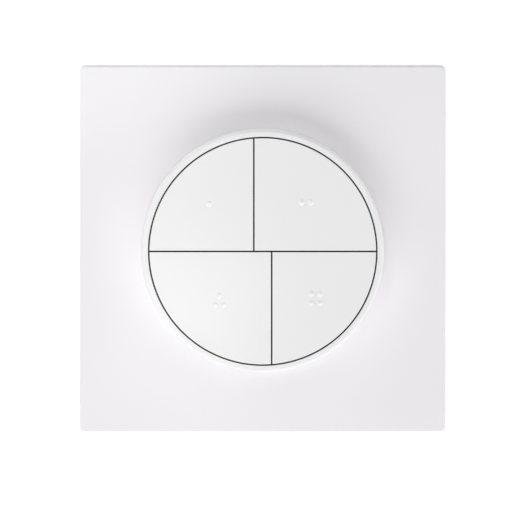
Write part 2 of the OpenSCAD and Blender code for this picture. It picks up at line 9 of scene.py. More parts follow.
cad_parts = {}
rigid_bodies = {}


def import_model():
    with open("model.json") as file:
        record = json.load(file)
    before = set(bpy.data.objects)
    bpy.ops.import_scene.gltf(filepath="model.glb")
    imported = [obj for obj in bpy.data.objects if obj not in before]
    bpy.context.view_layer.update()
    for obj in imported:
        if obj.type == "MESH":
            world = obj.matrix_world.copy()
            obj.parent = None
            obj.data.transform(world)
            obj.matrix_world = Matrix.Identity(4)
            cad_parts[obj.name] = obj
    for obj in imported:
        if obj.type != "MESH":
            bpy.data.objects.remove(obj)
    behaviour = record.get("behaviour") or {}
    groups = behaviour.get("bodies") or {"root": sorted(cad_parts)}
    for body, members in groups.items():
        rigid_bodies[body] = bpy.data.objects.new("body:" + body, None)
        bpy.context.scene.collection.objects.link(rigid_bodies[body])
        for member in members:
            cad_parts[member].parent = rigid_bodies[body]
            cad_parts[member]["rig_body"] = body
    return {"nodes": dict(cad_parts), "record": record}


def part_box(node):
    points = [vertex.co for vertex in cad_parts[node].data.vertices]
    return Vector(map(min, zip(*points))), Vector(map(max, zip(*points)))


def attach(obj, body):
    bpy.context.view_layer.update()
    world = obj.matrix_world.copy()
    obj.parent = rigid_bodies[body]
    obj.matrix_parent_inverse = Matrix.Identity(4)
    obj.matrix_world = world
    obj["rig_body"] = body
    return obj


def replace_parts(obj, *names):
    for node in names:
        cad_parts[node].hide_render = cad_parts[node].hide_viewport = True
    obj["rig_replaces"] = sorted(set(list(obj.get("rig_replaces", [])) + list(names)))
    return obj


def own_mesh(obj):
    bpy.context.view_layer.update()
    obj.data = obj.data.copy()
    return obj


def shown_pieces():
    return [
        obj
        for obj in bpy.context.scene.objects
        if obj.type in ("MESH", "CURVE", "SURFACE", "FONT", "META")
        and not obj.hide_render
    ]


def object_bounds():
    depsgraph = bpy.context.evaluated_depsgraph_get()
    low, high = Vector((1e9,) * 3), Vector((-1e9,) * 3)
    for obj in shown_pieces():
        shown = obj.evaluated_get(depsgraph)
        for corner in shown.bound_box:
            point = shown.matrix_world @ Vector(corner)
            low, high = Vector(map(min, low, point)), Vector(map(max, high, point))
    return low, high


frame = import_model()
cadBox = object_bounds()
scene = bpy.context.scene
scene.view_settings.view_transform = "Standard"
mm = 0.001
weld = 0.0005 * mm  # points nearer than this are one
bodyOf = {name: node["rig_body"] for name, node in frame["nodes"].items()}
slotOf = {part["node"]: part["material_slot"] for part in frame["record"]["subparts"]}
print("frame loaded:", len(bodyOf), "nodes")


# the one socket of this name that a node's settings leave in use
def liveSocket(sockets, name):
    return next(socket for socket in sockets if socket.name == name and socket.enabled)


# a node with its settings, and its inputs by name or place, which take a value or another node's socket
def addNode(tree, kind, inputs=None, **settings):
    node = tree.nodes.new(kind)
    for name, value in settings.items():
        setattr(node, name, value)
    for name, value in (inputs or {}).items():
        socket = liveSocket(node.inputs, name) if isinstance(name, str) else node.inputs[name]
        if isinstance(value, bpy.types.NodeSocket):
            tree.links.new(value, socket)
        else:
            socket.default_value = value
    return node


def maths(tree, operation, first, second=0.0):
    return addNode(tree, "ShaderNodeMath", {0: first, 1: second}, operation=operation).outputs[0]


def newMaterial(name, **fixed):
    material = bpy.data.materials.new(name)
    material.use_nodes = True
    tree = material.node_tree
    shader = tree.nodes["Principled BSDF"]
    for socket, value in fixed.items():
        shader.inputs[socket.replace("_", " ")].default_value = value
    coords = addNode(tree, "ShaderNodeTexCoord").outputs["Object"]
    return material, tree, shader, coords


# leads a colour and a roughness to the shader, and a pattern of heights as a bump
def surface(tree, shader, colour, roughness, bump):
    normal = addNode(tree, "ShaderNodeBump", bump).outputs["Normal"]
    for name, pattern in (("Base Color", colour), ("Roughness", roughness), ("Normal", normal)):
        tree.links.new(pattern, shader.inputs[name])


# noise whose blotches are about this wide, in metres
def blotches(tree, coords, width, detail):
    noise = addNode(tree, "ShaderNodeTexNoise", {"Vector": coords, "Scale": 1 / width, "Detail": detail})
    return noise.outputs["Fac"]


# brings a 0 to 1 pattern to a range, with steeper or softer ends
def spread(tree, pattern, low, high, fromLow=0.3, fromHigh=0.7):
    ranged = addNode(tree, "ShaderNodeMapRange", {
        "Value": pattern, "From Min": fromLow, "From Max": fromHigh, "To Min": low, "To Max": high})
    return ranged.outputs["Result"]


def blend(tree, share, first, second):
    mix = addNode(tree, "ShaderNodeMix", {"Factor": share, "A": first, "B": second}, data_type="RGBA")
    return liveSocket(mix.outputs, "Result")


# 1 where the pattern is over the limit, with a short ramp
def over(tree, pattern, limit, ramp):
    return spread(tree, pattern, 0.0, 1.0, limit - ramp, limit + ramp)


def rgb(red, green, blue):
    return (red, green, blue, 1.0)


# moulded plastic: a fine grain from the tool's wall, faint flow blotches and an uneven sheen
def mouldedPlastic(name, look):
    material, tree, shader, coords = newMaterial(
        name, Specular_IOR_Level=look["gloss"], Transmission_Weight=look.get("clear", 0.0))
    flow = blotches(tree, coords, look["flowWidth"], look["detail"])
    grain = blotches(tree, coords, look["grainWidth"], look["detail"])
    colour = blend(tree, spread(tree, flow, 0.0, 1.0), look["colour"], look["shade"])
    if "darkBelow" in look:  # painted shade: near-black colour low on the walls down in the gaps, standing in for the shade there
        split = addNode(tree, "ShaderNodeSeparateXYZ", {"Vector": coords})
        unshaded = over(tree, split.outputs["Z"], look["darkBelow"], look["darkRamp"])
        # painted shade also on the rim's inner wall, inside the given reach
        if "darkInside" in look:
            flat = addNode(tree, "ShaderNodeVectorMath", {0: coords, 1: (1, 1, 0)}, operation="MULTIPLY")
            reach = addNode(tree, "ShaderNodeVectorMath", {0: flat.outputs[0]}, operation="LENGTH")
            outside = over(tree, reach.outputs["Value"], look["darkInside"], look["darkRamp"])
            unshaded = maths(tree, "MAXIMUM", unshaded, outside)
        colour = blend(tree, unshaded, look["dark"], colour)
    surface(tree, shader, colour, spread(tree, grain, *look["roughness"]),
            {"Strength": look["grain"], "Distance": look["grainDepth"], "Height": grain})
    return material


# plated or drawn metal: fine scratches over a soft mottle
def sheetMetal(name, look):
    material, tree, shader, coords = newMaterial(name, Metallic=1.0)
    mottle = blotches(tree, coords, look["mottleWidth"], look["detail"])
    stretched = addNode(tree, "ShaderNodeMapping", {"Vector": coords, "Scale": look["scratchStretch"]})
    scratches = blotches(tree, stretched.outputs["Vector"], look["scratchWidth"], look["detail"])
    colour = blend(tree, spread(tree, mottle, 0.0, 1.0), look["colour"], look["shade"])
    surface(tree, shader, colour, spread(tree, scratches, *look["roughness"]),
            {"Strength": look["scratch"], "Distance": look["scratchDepth"], "Height": scratches})
    return material


# lacquered circuit board: patches of straight copper tracks, along or across, under a glossy solder mask
def solderMask(name, look):
    material, tree, shader, coords = newMaterial(
        name, Coat_Weight=look["coat"], Coat_Roughness=look["coatRoughness"])
    patches = addNode(tree, "ShaderNodeTexVoronoi", {"Vector": coords, "Scale": 1 / look["patchWidth"]},
                      distance="CHEBYCHEV")
    chance = addNode(tree, "ShaderNodeSeparateColor", {"Color": patches.outputs["Color"]}).outputs
    place = addNode(tree, "ShaderNodeSeparateXYZ", {"Vector": coords}).outputs
    across = maths(tree, "LESS_THAN", look["along"], chance["Red"])
    step = maths(tree, "MULTIPLY", across, maths(tree, "SUBTRACT", place["X"], place["Y"]))
    away = maths(tree, "PINGPONG", maths(tree, "ADD", place["Y"], step), look["trackPitch"] / 2)
    half = look["trackWidth"] / 2
    line = spread(tree, away, 1.0, 0.0, half, half + look["trackRamp"])
    track = maths(tree, "MULTIPLY", line, maths(tree, "LESS_THAN", chance["Green"], look["tracked"]))
    mottle = blotches(tree, coords, look["mottleWidth"], look["detail"])
    mask = blend(tree, spread(tree, mottle, 0.0, 1.0), look["colour"], look["shade"])
    surface(tree, shader, blend(tree, track, mask, look["track"]), spread(tree, mottle, *look["roughness"]),
            {"Strength": look["trackBump"], "Distance": look["trackHeight"], "Height": track})
    return material


# open-celled foam tape
def foam(name, look):
    material, tree, shader, coords = newMaterial(name, Specular_IOR_Level=look["gloss"])
    cells = addNode(tree, "ShaderNodeTexVoronoi", {"Vector": coords, "Scale": 1 / look["cell"]})
    wall = cells.outputs["Distance"]
    colour = blend(tree, spread(tree, wall, 0.0, 1.0, *look["wall"]), look["shade"], look["colour"])
    surface(tree, shader, colour, spread(tree, wall, *look["roughness"], *look["wall"]),
            {"Strength": look["cellBump"], "Distance": look["cellDepth"], "Height": wall})
    return material


plateLook = {"colour": rgb(0.885, 0.87, 0.893), "shade": rgb(0.872, 0.857, 0.88), "gloss": 0.35,
             "roughness": (0.46, 0.6), "flowWidth": 24 * mm, "grainWidth": 0.14 * mm, "detail": 3.0,
             "grainDepth": 0.006 * mm, "grain": 0.35}
# painted shade: near-black colour for the walls down in the gaps, below the heights given in rimLook and
# keyLook
gapShadeLook = {"dark": rgb(0.012, 0.012, 0.013), "darkRamp": 0.01 * mm}
rimLook = dict(plateLook, **gapShadeLook, colour=rgb(0.885, 0.878, 0.89), shade=rgb(0.874, 0.867, 0.879),
               roughness=(0.36, 0.48), gloss=0.45, darkBelow=15.42 * mm, darkInside=26.98 * mm)
shellLook = dict(plateLook, colour=rgb(0.87, 0.865, 0.875), shade=rgb(0.855, 0.85, 0.86))
# keys: side walls below darkBelow carry the painted shade of the gaps
keyLook = dict(plateLook, **gapShadeLook, colour=rgb(0.872, 0.872, 0.872), shade=rgb(0.86, 0.861, 0.86),
               roughness=(0.4, 0.52), gloss=0.4, darkBelow=15.55 * mm)
bracketLook = dict(plateLook, colour=rgb(0.8, 0.8, 0.8), shade=rgb(0.77, 0.77, 0.775))
# the deck under the keys is a real part; its near-black colour is partly painted shade, so the gaps between
# keys read dark
deckGapShadeLook = dict(plateLook, colour=rgb(0.014, 0.014, 0.015), shade=rgb(0.02, 0.02, 0.02),
                roughness=(0.5, 0.65))
chipLook = dict(plateLook, colour=rgb(0.4, 0.28, 0.16), shade=rgb(0.34, 0.23, 0.13), flowWidth=0.6 * mm)
lampLook = dict(plateLook, colour=rgb(0.85, 0.83, 0.7), shade=rgb(0.8, 0.77, 0.6), roughness=(0.1, 0.18),
                clear=0.92)
steelLook = {"colour": rgb(0.62, 0.62, 0.61), "shade": rgb(0.55, 0.56, 0.57), "mottleWidth": 2.5 * mm,
             "scratchWidth": 0.15 * mm, "scratchStretch": (1, 0.08, 1), "scratchDepth": 0.004 * mm,
             "scratch": 0.25, "detail": 4.0, "roughness": (0.28, 0.42)}
tinLook = dict(steelLook, colour=rgb(0.68, 0.68, 0.67), shade=rgb(0.6, 0.6, 0.6), mottleWidth=0.8 * mm)
cellLook = dict(steelLook, colour=rgb(0.7, 0.7, 0.69), shade=rgb(0.64, 0.64, 0.63), roughness=(0.18, 0.3))
nickelLook = dict(steelLook, colour=rgb(0.7, 0.69, 0.66), shade=rgb(0.63, 0.62, 0.6), roughness=(0.1, 0.2))
brassLook = dict(steelLook, colour=rgb(0.8, 0.62, 0.3), shade=rgb(0.72, 0.53, 0.25), roughness=(0.2, 0.34))
boardLook = {"colour": rgb(0.02, 0.14, 0.05), "shade": rgb(0.016, 0.12, 0.045),
             "track": rgb(0.035, 0.22, 0.075), "patchWidth": 5 * mm, "trackPitch": 0.7 * mm,
             "trackWidth": 0.28 * mm, "trackRamp": 0.028 * mm, "trackHeight": 0.03 * mm, "trackBump": 0.4,
             "along": 0.5, "tracked": 0.75, "mottleWidth": 3 * mm, "detail": 2.0, "roughness": (0.3, 0.42),
             "coat": 0.4, "coatRoughness": 0.15}
radioLook = dict(boardLook, colour=rgb(0.02, 0.04, 0.18), shade=rgb(0.016, 0.035, 0.15),
                 track=rgb(0.04, 0.075, 0.27), patchWidth=2.4 * mm, trackPitch=0.5 * mm,
                 trackWidth=0.2 * mm, trackRamp=0.02 * mm)
tapeLook = {"colour": rgb(0.62, 0.62, 0.6), "shade": rgb(0.5, 0.5, 0.49), "gloss": 0.2, "cell": 0.3 * mm,
            "cellDepth": 0.05 * mm, "cellBump": 0.6, "wall": (0.1, 0.8), "roughness": (0.75, 0.95)}

finishes = {
    "plate_white": mouldedPlastic("plateWhite", plateLook),
    "housing_white": mouldedPlastic("shellWhite", shellLook),
    "key_white": mouldedPlastic("keyWhite", keyLook),
    "bracket_white": mouldedPlastic("bracketWhite", bracketLook),
    "deck_black": mouldedPlastic("deckBlack", deckGapShadeLook),
    "chip_tan": mouldedPlastic("chipTan", chipLook),
    "led_clear": mouldedPlastic("lampResin", lampLook),
    "zinc_steel": sheetMetal("zincSteel", steelLook),
    "tinned_steel": sheetMetal("tinnedSteel", tinLook),
    "cell_steel": sheetMetal("cellSteel", cellLook),
    "magnet_nickel": sheetMetal("magnetNickel", nickelLook),
    "spring_brass": sheetMetal("springBrass", brassLook),
    "board_green": solderMask("boardGreen", boardLook),
    "radio_blue": solderMask("radioBlue", radioLook),
    "foam_tape": foam("foamTape", tapeLook),
}
rimFinish = mouldedPlastic("rimWhite", rimLook)
print("materials made:", len(finishes) + 1)


def placed(name, mesh):
    piece = bpy.data.objects.new(name, mesh)
    scene.collection.objects.link(piece)
    return piece


# plain mesh of a piece with its modifiers in it
def solved(piece):
    return bpy.data.meshes.new_from_object(piece.evaluated_get(bpy.context.evaluated_depsgraph_get()))


# takes out doubled points, slivers and loose edges
def cleaned(bm, merge):
    bmesh.ops.remove_doubles(bm, verts=bm.verts, dist=merge)
    bmesh.ops.dissolve_degenerate(bm, edges=bm.edges, dist=merge / 10)
    loose = [edge for edge in bm.edges if not edge.link_faces]
    bmesh.ops.delete(bm, geom=loose, context="EDGES")


def fromBmesh(name, bm, merge=0.001 * mm):
    cleaned(bm, merge)
    bmesh.ops.recalc_face_normals(bm, faces=bm.faces)
    mesh = bpy.data.meshes.new(name)
    bm.to_mesh(mesh)
    bm.free()
    return placed(name, mesh)


# joins the tool to the piece, or takes it off; the tool is used up
def combine(piece, tool, operation, merge=0.002 * mm):
    step = piece.modifiers.new("combine", "BOOLEAN")
    step.operation, step.object, step.solver = operation, tool, "EXACT"
    mesh = solved(piece)
    piece.modifiers.remove(step)
    bm = bmesh.new()
    bm.from_mesh(mesh)
    cleaned(bm, merge)
    bm.to_mesh(mesh)
    bm.free()
    piece.data = mesh
    bpy.data.objects.remove(tool)


# smooth faces between sharp edges, with normals led by the large faces
def shade(piece, sharpFrom=32):
    mesh = piece.data
    mesh.polygons.foreach_set("use_smooth", [True] * len(mesh.polygons))
    mesh.set_sharp_from_angle(angle=math.radians(sharpFrom))
    step = piece.modifiers.new("normals", "WEIGHTED_NORMAL")
    step.keep_sharp = True
    piece.data = solved(piece)
    piece.modifiers.remove(step)


# gives a finished piece its material, and puts it in the place of a node
def dress(piece, node, finish=None):
    shade(piece)
    piece.data.materials.clear()
    piece.data.materials.append(finish or finishes[slotOf[node]])
    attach(piece, bodyOf[node])
    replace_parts(piece, node)
    return piece


# points of a quarter round, from a direction in degrees on
def corner(centre, radius, start, steps):
    angles = [math.radians(start + 90 * i / steps) for i in range(steps + 1)]
    return [(centre[0] + radius * math.cos(angle), centre[1] + radius * math.sin(angle)) for angle in angles]


# skin of quads through rows of points, each row a closed loop; it meets its own start or has two end caps
def lofted(bm, rows, closed):
    loops = [[bm.verts.new(point) for point in row] for row in rows]
    count = len(rows[0])
    for n in range(len(loops) if closed else len(loops) - 1):
        here, there = loops[n], loops[(n + 1) % len(loops)]
        for i in range(count):
            j = (i + 1) % count
            bm.faces.new((here[i], here[j], there[j], there[i]))
    if not closed:
        bm.faces.new(loops[0])
        bm.faces.new(loops[-1])


# closed or pole-to-pole profile of (radius, height) points, turned round an upright line
def turned(bm, profile, steps=48, centre=(0, 0)):
    rows = []
    for i in range(steps):
        angle = 2 * math.pi * i / steps
        across, up = math.cos(angle), math.sin(angle)
        rows.append([(centre[0] + r * across, centre[1] + r * up, z) for r, z in profile])
    lofted(bm, rows, closed=True)


def rod(bm, radius, low, high, centre=(0, 0), steps=48):
    turned(bm, [(0, low), (radius, low), (radius, high), (0, high)], steps, centre)


def block(bm, low, high, turn=0.0):
    made = bmesh.ops.create_cube(bm, size=1)["verts"]
    size = [b - a for a, b in zip(low, high)]
    middle = [(a + b) / 2 for a, b in zip(low, high)]
    move = Matrix.Rotation(turn, 4, "Z") @ Matrix.Translation(middle) @ Matrix.Diagonal((*size, 1))
    bmesh.ops.transform(bm, matrix=move, verts=made)


# new node tree with its named inputs; the finish comes last
def newTree(name, **inputs):
    tree = bpy.data.node_groups.new(name, "GeometryNodeTree")
    for label, kind in {**inputs, "Finish": "Material"}.items():
        tree.interface.new_socket(label.replace("_", " "), in_out="INPUT", socket_type="NodeSocket" + kind)
    tree.interface.new_socket("Result", in_out="OUTPUT", socket_type="NodeSocketGeometry")
    return tree, addNode(tree, "NodeGroupInput").outputs


def endTree(tree, shape, finish):
    whole = addNode(tree, "GeometryNodeRealizeInstances", {"Geometry": shape})
    dressed = addNode(tree, "GeometryNodeSetMaterial", {"Geometry": whole.outputs[0], "Material": finish})
    tree.links.new(dressed.outputs[0], addNode(tree, "NodeGroupOutput").inputs[0])
    return tree


def vector(tree, x=0.0, y=0.0, z=0.0):
    return addNode(tree, "ShaderNodeCombineXYZ", {"X": x, "Y": y, "Z": z}).outputs[0]


# tree that turns a profile mesh round the upright axis
def turningTree():
    tree, given = newTree("turnedRound", Profile="Geometry", Points="Int", Steps="Int")
    columns = maths(tree, "ADD", given["Steps"], 1.0)
    grid = addNode(tree, "GeometryNodeMeshGrid", {"Vertices X": columns, "Vertices Y": given["Points"]})
    index = addNode(tree, "GeometryNodeInputIndex").outputs[0]
    column = maths(tree, "FLOOR", maths(tree, "DIVIDE", index, given["Points"]))
    row = maths(tree, "FLOORED_MODULO", index, given["Points"])
    turn = maths(tree, "MULTIPLY", maths(tree, "DIVIDE", column, given["Steps"]), 2 * math.pi)
    here = addNode(tree, "GeometryNodeInputPosition").outputs[0]
    sample = addNode(tree, "GeometryNodeSampleIndex", {
        "Geometry": given["Profile"], "Value": here, "Index": row}, data_type="FLOAT_VECTOR")
    point = addNode(tree, "ShaderNodeSeparateXYZ", {"Vector": liveSocket(sample.outputs, "Value")}).outputs
    across = maths(tree, "MULTIPLY", point["X"], maths(tree, "COSINE", turn))
    up = maths(tree, "MULTIPLY", point["X"], maths(tree, "SINE", turn))
    moved = addNode(tree, "GeometryNodeSetPosition", {
        "Geometry": grid.outputs["Mesh"], "Position": vector(tree, across, up, point["Z"])})
    welded = addNode(tree, "GeometryNodeMergeByDistance", {"Geometry": moved.outputs[0], "Distance": weld})
    return endTree(tree, welded.outputs[0], given["Finish"])


# tree that repeats a shape in a ring about the upright axis
def ringTree():
    tree, given = newTree("ringOfCopies", Shape="Geometry", Count="Int")
    middles = addNode(tree, "GeometryNodeMeshLine", {"Count": given["Count"], "Offset": (0, 0, 0)})
    index = addNode(tree, "GeometryNodeInputIndex").outputs[0]
    turn = maths(tree, "MULTIPLY", maths(tree, "DIVIDE", index, given["Count"]), 2 * math.pi)
    copies = addNode(tree, "GeometryNodeInstanceOnPoints", {
        "Points": middles.outputs[0], "Instance": given["Shape"], "Rotation": vector(tree, z=turn)})
    return endTree(tree, copies.outputs[0], given["Finish"])


# tree that sets raised dots out in two rows about a place
def dotTree():
    tree, given = newTree("raisedDots", Base="Geometry", Upper_count="Int", Lower_count="Int",
                          Upper_shift="Float", Lower_shift="Float", Pitch="Float", Diameter="Float",
                          Foot="Float", Height="Float", Segments="Int", Rings="Int", Place="Vector")
    # ball whose cap has the dot's width, with the moulded foot round it, and its height
    half = maths(tree, "ADD", maths(tree, "DIVIDE", given["Diameter"], 2.0), given["Foot"])
    squares = maths(tree, "ADD", maths(tree, "POWER", half, 2.0), maths(tree, "POWER", given["Height"], 2.0))
    ballRadius = maths(tree, "DIVIDE", squares, maths(tree, "MULTIPLY", given["Height"], 2.0))
    ball = addNode(tree, "GeometryNodeMeshUVSphere", {
        "Segments": given["Segments"], "Rings": given["Rings"], "Radius": ballRadius})
    sink = vector(tree, z=maths(tree, "SUBTRACT", given["Height"], ballRadius))
    sunk = addNode(tree, "GeometryNodeTransform", {"Geometry": ball.outputs["Mesh"], "Translation": sink})
    rows = addNode(tree, "GeometryNodeJoinGeometry")
    for row in ("Lower", "Upper"):
        count, shift = given[row + " count"], given[row + " shift"]
        first = maths(tree, "MULTIPLY", maths(tree, "SUBTRACT", count, 1.0), -0.5)
        start = vector(tree, maths(tree, "MULTIPLY", first, given["Pitch"]),
                       maths(tree, "MULTIPLY", given["Pitch"], shift))
        line = addNode(tree, "GeometryNodeMeshLine", {
            "Count": count, "Start Location": start, "Offset": vector(tree, given["Pitch"])})
        tree.links.new(line.outputs["Mesh"], rows.inputs[0])
    there = addNode(tree, "GeometryNodeTransform", {
        "Geometry": rows.outputs[0], "Translation": given["Place"]})
    dots = addNode(tree, "GeometryNodeInstanceOnPoints", {
        "Points": there.outputs[0], "Instance": sunk.outputs[0]})
    return endTree(tree, dots.outputs[0], given["Finish"])


# tree that sets one piece out at the corners of a rectangle, each with its own turn
def cornerTree():
    tree, given = newTree("fourCorners", Piece="Geometry", Across="Float", Upright="Float",
                          Loose_turn="Float", Seed="Int")
    grid = addNode(tree, "GeometryNodeMeshGrid", {
        "Size X": given["Across"], "Size Y": given["Upright"], "Vertices X": 2, "Vertices Y": 2})
    chance = addNode(tree, "FunctionNodeRandomValue", {"Max": given["Loose turn"], "Seed": given["Seed"]},
                     data_type="FLOAT")
    copies = addNode(tree, "GeometryNodeInstanceOnPoints", {
        "Points": grid.outputs["Mesh"], "Instance": given["Piece"],
        "Rotation": vector(tree, z=liveSocket(chance.outputs, "Value"))})
    return endTree(tree, copies.outputs[0], given["Finish"])


turningNodes, ringNodes, dotNodes, cornerNodes = turningTree(), ringTree(), dotTree(), cornerTree()


# runs a tree on a piece and keeps the plain result
def grown(piece, tree, **values):
    step = piece.modifiers.new("tree", "NODES")
    step.node_group = tree
    for item in tree.interface.items_tree:
        value = values.get(item.name.replace(" ", "_"))
        if item.in_out == "INPUT" and value is not None:
            step[item.identifier] = value
    piece.data = solved(piece)
    piece.modifiers.remove(step)
    return piece


# closed profile of (radius, height) points, turned by the tree
def turnedPiece(name, profile, finish, steps=240):
    mesh = bpy.data.meshes.new(name)
    mesh.from_pydata([(r, 0, z) for r, z in profile + profile[:1]], [], [])
    return grown(placed(name, mesh), turningNodes, Points=len(profile) + 1, Steps=steps, Finish=finish)


# tool made of copies of one shape in a ring
def ringTool(name, bm, count):
    return grown(fromBmesh(name, bm), ringNodes, Count=count)


# the square plate: one closed skin from its hem over the front, down the hole and back under
plate = {"cornerRadius": 1.2 * mm, "edgeRadius": 0.2 * mm, "wall": 2 * mm, "innerCorner": 0.5 * mm,
         "holeRadius": 27.9 * mm, "holeEdge": 0.3 * mm, "holeWall": 1.6 * mm, "pocketFloor": 2.5 * mm,
         "softEdge": 0.12 * mm, "sidePoints": 56, "cornerPoints": 12, "edgeSteps": 8,
         "flatFrom": 1.5,  # in edge radii: where the flat front begins beside a rounded edge
         "prySlot": (8 * mm, 1.2 * mm), "ribThick": 1.2 * mm, "ribLow": 3.4 * mm,
         "guideWidth": 3 * mm, "guideReach": 0.9 * mm, "guideHeight": 4.2 * mm,
         "grooveAt": 22 * mm, "grooveWidth": 8.5 * mm, "grooveDepth": 0.75 * mm,
         "grooveLow": 4.15 * mm, "grooveHigh": 5.85 * mm}


# rounded square of points at one height, with so many points to a side and to a corner
def squareRow(half, radius, z, sidePoints, cornerPoints):
    row = []
    reach = half - radius
    edge = [(half, reach * (2 * i / sidePoints - 1)) for i in range(sidePoints)]
    arc = corner((reach, reach), radius, 0, cornerPoints)[:-1]
    for side in range(4):
        turn = Matrix.Rotation(side * math.pi / 2, 3, "Z")
        row += [turn @ Vector((x, y, z)) for x, y in edge + arc]
    return row


# circle of points at one height, each in the same direction as one of another row
def roundRow(radius, z, like):
    return [Vector((point.x, point.y, 0)).normalized() * radius + Vector((0, 0, z)) for point in like]


def makePlate():
    low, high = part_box("front_frame")
    half, hem, front = high.x, low.z, high.z
    soft, edge, radius = plate["softEdge"], plate["edgeRadius"], plate["cornerRadius"]
    hole, holeEdge = plate["holeRadius"], plate["holeEdge"]
    inner, innerRadius, skin = half - plate["wall"], plate["innerCorner"], front - plate["wall"]
    foot, liner = plate["pocketFloor"], hole + plate["holeWall"]
    square = [(half - soft, radius - soft, hem), (half, radius, hem + soft)]
    square += [(across, radius - (half - across), up)
               for across, up in corner((half - edge, front - edge), edge, 0, plate["edgeSteps"])]
    square.append((half - plate["flatFrom"] * edge, radius - edge, front))
    circle = [(hole + plate["flatFrom"] * holeEdge, front)]
    circle += corner((hole + holeEdge, front - holeEdge), holeEdge, 90, plate["edgeSteps"])
    circle += [(hole, foot + soft), (hole + soft, foot), (liner - soft, foot), (liner, foot + soft),
               (liner, skin)]
    inside = [(inner, innerRadius, skin), (inner, innerRadius, hem + soft),
              (inner + soft, innerRadius + soft, hem)]
    points = plate["sidePoints"], plate["cornerPoints"]
    rows = [squareRow(*place, *points) for place in square]
    rows += [roundRow(*place, like=rows[1]) for place in circle]
    rows += [squareRow(*place, *points) for place in inside]
    bm = bmesh.new()
    lofted(bm, rows, closed=True)
    piece = fromBmesh("plateFrame", bm)

    # ribs behind the front skin, one straight and one to a corner on each side
    tool = bmesh.new()
    start, thick = (hole + liner) / 2, plate["ribThick"] / 2
    for end, turn in ((inner + soft, 0), (inner * math.sqrt(2) - plate["innerCorner"], math.pi / 4)):
        block(tool, (start, -thick, plate["ribLow"]), (end, thick, skin + soft), turn)
    combine(piece, ringTool("ribs", tool, 4), "UNION")

    # rib that keeps the remote upright
    tool = bmesh.new()
    block(tool, (-plate["guideWidth"] / 2, -hole - 2 * soft, foot),
          (plate["guideWidth"] / 2, -hole + plate["guideReach"], foot + plate["guideHeight"]))
    combine(piece, fromBmesh("guide", tool), "UNION")

    # two grooves on each side for the bracket's clips
    tool = bmesh.new()
    for middle in (-plate["grooveAt"], plate["grooveAt"]):
        block(tool, (inner - soft, middle - plate["grooveWidth"] / 2, plate["grooveLow"]),
              (inner + plate["grooveDepth"], middle + plate["grooveWidth"] / 2, plate["grooveHigh"]))
    combine(piece, ringTool("grooves", tool, 4), "DIFFERENCE")

    # slot for prising the plate off
    tool = bmesh.new()
    width, height = plate["prySlot"]
    block(tool, (-width / 2, -half - soft, hem - soft), (width / 2, -inner + soft, hem + height))
    combine(piece, fromBmesh("prySlot", tool), "DIFFERENCE")
    return dress(piece, "front_frame")


makePlate()
print("plate made")

# round rim of the remote, turned from its section
rim = {"width": 1.6 * mm, "outerEdge": 0.7 * mm, "innerEdge": 0.15 * mm, "ledge": 25 * mm,
       "ledgeTop": 12 * mm, "ledgeThick": 1.4 * mm, "bore": 27.1 * mm, "softEdge": 0.06 * mm,
       "edgeSteps": 10, "innerSteps": 5}


def makeRim():
    low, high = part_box("bezel")
    outer, top, foot, soft = high.x, high.z, low.z, rim["softEdge"]
    well, ledge, bore = outer - rim["width"], rim["ledge"], rim["bore"]
    edge, inner = rim["outerEdge"], rim["innerEdge"]
    shelf, under = rim["ledgeTop"], rim["ledgeTop"] - rim["ledgeThick"]
    section = [(outer - soft, foot), (outer, foot + soft)]
    section += corner((outer - edge, top - edge), edge, 0, rim["edgeSteps"])
    section += corner((well + inner, top - inner), inner, 90, rim["innerSteps"])
    section += [(well, shelf), (ledge + soft, shelf), (ledge, shelf - soft), (ledge, under + soft),
                (ledge + soft, under), (bore, under), (bore, foot + soft), (bore + soft, foot)]
    return dress(turnedPiece("rimBezel", section, rimFinish), "bezel", rimFinish)


makeRim()
print("rim made")

# the four keys: a sector of the round face each, with dots on top, and a peg and snap legs below
keys = {"radius": 26.62 * mm, "gap": 0.28 * mm, "split": 2.1 * mm, "thick": 1.5 * mm, "edge": 0.15 * mm,
        "softEdge": 0.08 * mm, "edgeSteps": 5, "arcPoints": 72, "linePoints": 24,
        "flatFrom": 2,  # in edge radii: where the flat top begins
        "dotPitch": 2.16 * mm, "dotDiameter": 1.2 * mm, "dotFoot": 0.09 * mm, "dotHeight": 0.3 * mm,
        "dotSegments": 40, "dotRings": 36, "pegRadius": 1.7 * mm, "pegSteps": 64,
        "legWidth": 2.4 * mm, "legThick": 1.2 * mm, "legBite": 0.6 * mm, "legHead": 0.9 * mm,
        "legInset": 3.5 * mm, "legOutset": 4.5 * mm, "legRamp": 0.3 * mm}
# each key's side in X and Y, which way its upright gap is set off, and its rows: dots, and shift in pitches
keyPlan = {"key_1": {"side": (-1, 1), "split": 1, "upper": (1, 0.0), "lower": (0, -0.5)},
           "key_2": {"side": (1, 1), "split": -1, "upper": (2, 0.0), "lower": (0, -0.5)},
           "key_3": {"side": (-1, -1), "split": -1, "upper": (1, 0.5), "lower": (2, -0.5)},
           "key_4": {"side": (1, -1), "split": 1, "upper": (2, 0.5), "lower": (2, -0.5)}}


# outline of a key at one height: along the level gap, round the rim and back along the upright gap
def keyRow(sideX, sideY, begin, inset, z):
    base, reach = keys["gap"] / 2 + inset, keys["radius"] - inset
    start = begin + base
    first, last = math.asin(base / reach), math.acos(start / reach)
    end, head = reach * math.cos(first), reach * math.sin(last)
    lines, turns = keys["linePoints"], keys["arcPoints"]
    row = [(start + (end - start) * i / lines, base) for i in range(lines)]
    angles = [first + (last - first) * i / turns for i in range(turns)]
    row += [(reach * math.cos(angle), reach * math.sin(angle)) for angle in angles]
    row += [(start, head + (base - head) * i / lines) for i in range(lines)]
    return [(sideX * u, sideY * v, z) for u, v in row]


